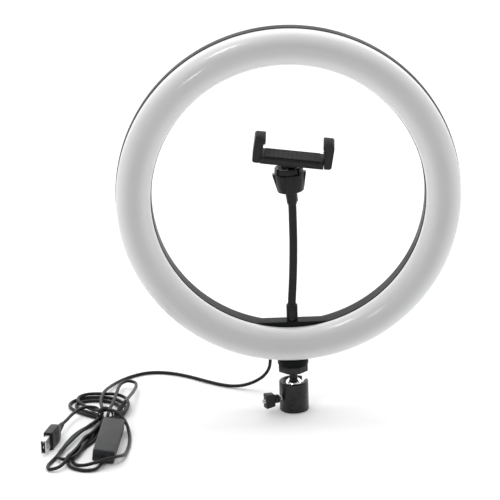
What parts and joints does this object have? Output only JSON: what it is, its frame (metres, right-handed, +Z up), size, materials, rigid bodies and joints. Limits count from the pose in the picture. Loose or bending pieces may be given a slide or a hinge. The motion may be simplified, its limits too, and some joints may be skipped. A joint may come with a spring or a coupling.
{
  "type": "ring light",
  "caption": "Domed LED ring light on a small lockable ball head, with a gooseneck phone clip inside the ring and a corded in-line controller.",
  "frame": {"origin": "on the table under the middle of the ball head, with the light facing -Y", "axes": "+Z up, +X to the light's right seen from the front, +Y to the back"},
  "size_m": [0.3709, 0.2221, 0.3512],
  "materials": {
    "diffuser": "milky moulded, satin",
    "housing": "satin moulded",
    "board": "white solder mask",
    "black": "fine satin",
    "nylon": "natural",
    "anodised": "black anodised, satin",
    "chrome_ball": "polished",
    "steel": "bright",
    "brass": "machined",
    "rubber": "matt",
    "cord_jacket": "smooth satin",
    "plug_metal": "plated"
  },
  "bodies": {
    "base": {"ball_cup": "anodised", "ball_seat": "nylon", "base_insert": "brass", "brake_pad": "nylon", "lead_drop": "cord_jacket", "lead_run": "cord_jacket", "controller_run": "cord_jacket", "right_loop": "cord_jacket", "controller_tail": "cord_jacket", "plug_run": "cord_jacket", "upper_loops": "cord_jacket", "lower_loops": "cord_jacket", "cord_tie": "rubber", "controller_top": "black", "controller_base": "black", "controller_board": "board", "relief_in": "rubber", "relief_out": "rubber", "plug_grip": "black", "plug_shell": "plug_metal", "plug_tongue": "board"},
    "knob": {"lock_knob": "black", "knob_screw": "steel"},
    "ball": {"clamp_ball": "chrome_ball"},
    "stem": {"ball_stem": "anodised", "camera_stud": "steel"},
    "disc": {"lock_disc": "anodised"},
    "ring": {"front_diffuser": "diffuser", "rear_housing": "housing", "led_board": "board", "housing_screw_1": "steel", "housing_screw_2": "steel", "housing_screw_3": "steel", "housing_screw_4": "steel", "cable_gland": "rubber", "foot_insert": "brass", "neck_insert": "brass"},
    "neck_foot": {"lower_ferrule": "black", "neck_stud": "steel", "gooseneck_hose": "black", "gooseneck_core": "steel"},
    "neck_head": {"upper_ferrule": "black", "clip_socket": "black"},
    "nut": {"socket_nut": "black"},
    "clip_joint": {"clip_ball": "black"},
    "clip": {"clip_body": "black", "clip_back_cover": "black", "clip_stub": "black", "clip_screw_1": "steel", "clip_screw_2": "steel", "clip_pad": "rubber", "fixed_hook_pad": "rubber", "jaw_spring": "steel"},
    "jaw": {"sliding_jaw": "black", "guide_rod_1": "steel", "guide_rod_2": "steel", "jaw_pad": "rubber"},
    "key_1": {"button_1": "rubber"},
    "key_2": {"button_2": "rubber"},
    "key_3": {"button_3": "rubber"}
  },
  "joints": [
    {"name": "lock_knob_turn", "type": "hinge", "parent": "base", "child": "knob", "pos_m": [0, 0, 0.013], "axis": [-0.8988, -0.4384, 0], "range_deg": [-180, 180]},
    {"name": "head_pan", "type": "hinge", "parent": "base", "child": "ball", "pos_m": [0, 0, 0.021], "axis": [0, 0, 1], "range_deg": [-90, 90]},
    {"name": "head_tilt", "type": "hinge", "parent": "ball", "child": "stem", "pos_m": [0, 0, 0.021], "axis": [1, 0, 0], "range_deg": [-30, 30]},
    {"name": "lock_disc_turn", "type": "hinge", "parent": "stem", "child": "disc", "pos_m": [0, 0, 0.04], "axis": [0, 0, 1], "range_deg": [-180, 180]},
    {"name": "ring_turn", "type": "hinge", "parent": "stem", "child": "ring", "pos_m": [0, 0, 0.047], "axis": [0, 0, 1], "range_deg": [-45, 45], "deforming": ["lead_drop"]},
    {"name": "neck_turn", "type": "hinge", "parent": "ring", "child": "neck_foot", "pos_m": [0.0003, -0.0045, 0.09], "axis": [0, 0, 1], "range_deg": [-45, 45]},
    {"name": "neck_bend", "type": "hinge", "parent": "neck_foot", "child": "neck_head", "pos_m": [0.002, -0.0045, 0.1475], "axis": [1, 0, 0], "range_deg": [-45, 45], "deforming": ["gooseneck_hose", "gooseneck_core"]},
    {"name": "socket_nut_turn", "type": "hinge", "parent": "neck_head", "child": "nut", "pos_m": [0.0015, -0.0045, 0.2185], "axis": [-0.0698, 0, 0.9976], "range_deg": [-180, 180]},
    {"name": "clip_tilt", "type": "hinge", "parent": "neck_head", "child": "clip_joint", "pos_m": [0.0015, -0.0045, 0.2185], "axis": [0.9903, 0, -0.1392], "range_deg": [-48, 4]},
    {"name": "clip_turn", "type": "hinge", "parent": "clip_joint", "child": "clip", "pos_m": [0.0015, -0.0045, 0.2185], "axis": [0.129, -0.3746, 0.9182], "continuous": true},
    {"name": "jaw_slide", "type": "slide", "parent": "clip", "child": "jaw", "axis": [0.9903, 0, -0.1392], "range_m": [0, 0.03], "stiffness_N_per_m": 400, "springref_m": -0.01, "deforming": ["jaw_spring"]},
    {"name": "button_1_press", "type": "slide", "parent": "base", "child": "key_1", "axis": [0.1386, -0.0121, 0.9903], "range_m": [0, 0.0008], "stiffness_N_per_m": 500, "springref_m": -0.0006},
    {"name": "button_2_press", "type": "slide", "parent": "base", "child": "key_2", "axis": [0.1386, -0.0121, 0.9903], "range_m": [0, 0.0008], "stiffness_N_per_m": 500, "springref_m": -0.0006},
    {"name": "button_3_press", "type": "slide", "parent": "base", "child": "key_3", "axis": [0.1386, -0.0121, 0.9903], "range_m": [0, 0.0008], "stiffness_N_per_m": 500, "springref_m": -0.0006}
  ]
}
